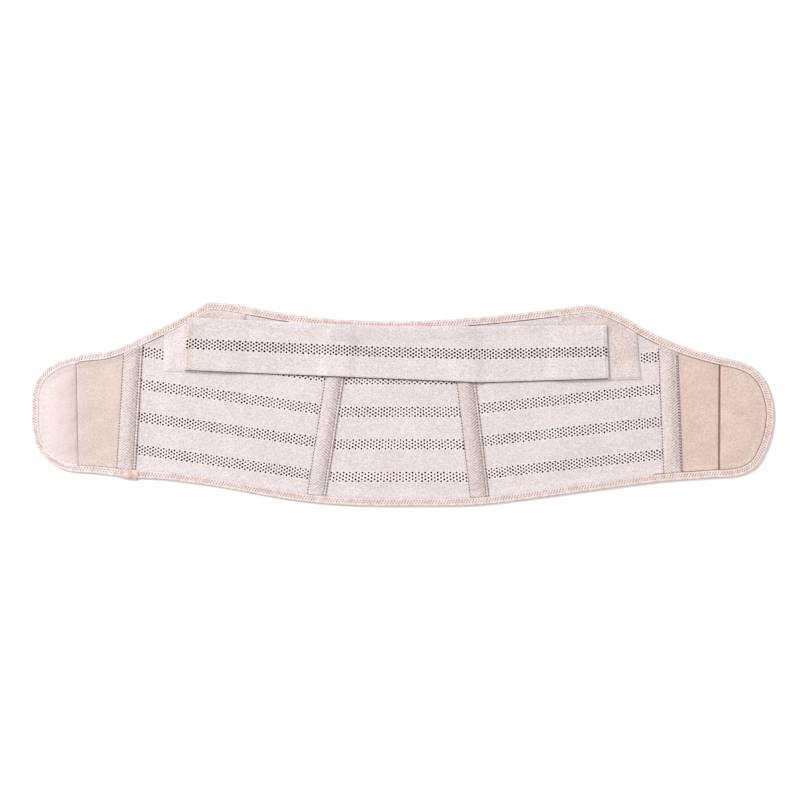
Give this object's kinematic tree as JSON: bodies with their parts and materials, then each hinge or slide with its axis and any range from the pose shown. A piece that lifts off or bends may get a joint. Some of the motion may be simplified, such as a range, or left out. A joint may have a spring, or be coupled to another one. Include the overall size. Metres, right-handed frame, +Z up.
{
  "type": "abdominal binder",
  "caption": "Elastic abdominal binder lying flat: perforated panels, sewn bone channels, brushed end wings, folded edge binding and a hook-and-loop strap over the upper half.",
  "frame": {"origin": "on the table, under the middle of the binder's bounding box", "axes": "+X along the binder, +Y across it towards the edge that the strap lies near, +Z up off the table"},
  "size_m": [0.891, 0.2451, 0.008],
  "materials": {
    "panel_elastic": "matte ribbed elastic",
    "strap_elastic": "matte ribbed elastic",
    "bone_tape": "herringbone twill",
    "wing_left_loop": "brushed loop",
    "wing_right_loop": "brushed loop",
    "tab_left_loop": "brushed loop",
    "tab_right_loop": "brushed loop",
    "binding_pale": "zig-zag stitched elastic",
    "binding_peach": "zig-zag stitched elastic",
    "landing_pad": "brushed loop",
    "hook_patch": "woven hook tape"
  },
  "bodies": {
    "root": {"panel_centre": "panel_elastic", "panel_left": "panel_elastic", "panel_right": "panel_elastic", "channel_outer_left": "bone_tape", "channel_inner_left": "bone_tape", "channel_inner_right": "bone_tape", "channel_outer_right": "bone_tape", "wing_left": "wing_left_loop", "wing_right": "wing_right_loop", "tab_left": "tab_left_loop", "tab_right": "tab_right_loop", "binding_left_wing": "binding_pale", "binding_main": "binding_peach", "pad_left": "landing_pad", "pad_right": "landing_pad", "strap": "strap_elastic", "strap_hook_left": "hook_patch", "strap_hook_right": "hook_patch"}
  },
  "joints": []
}
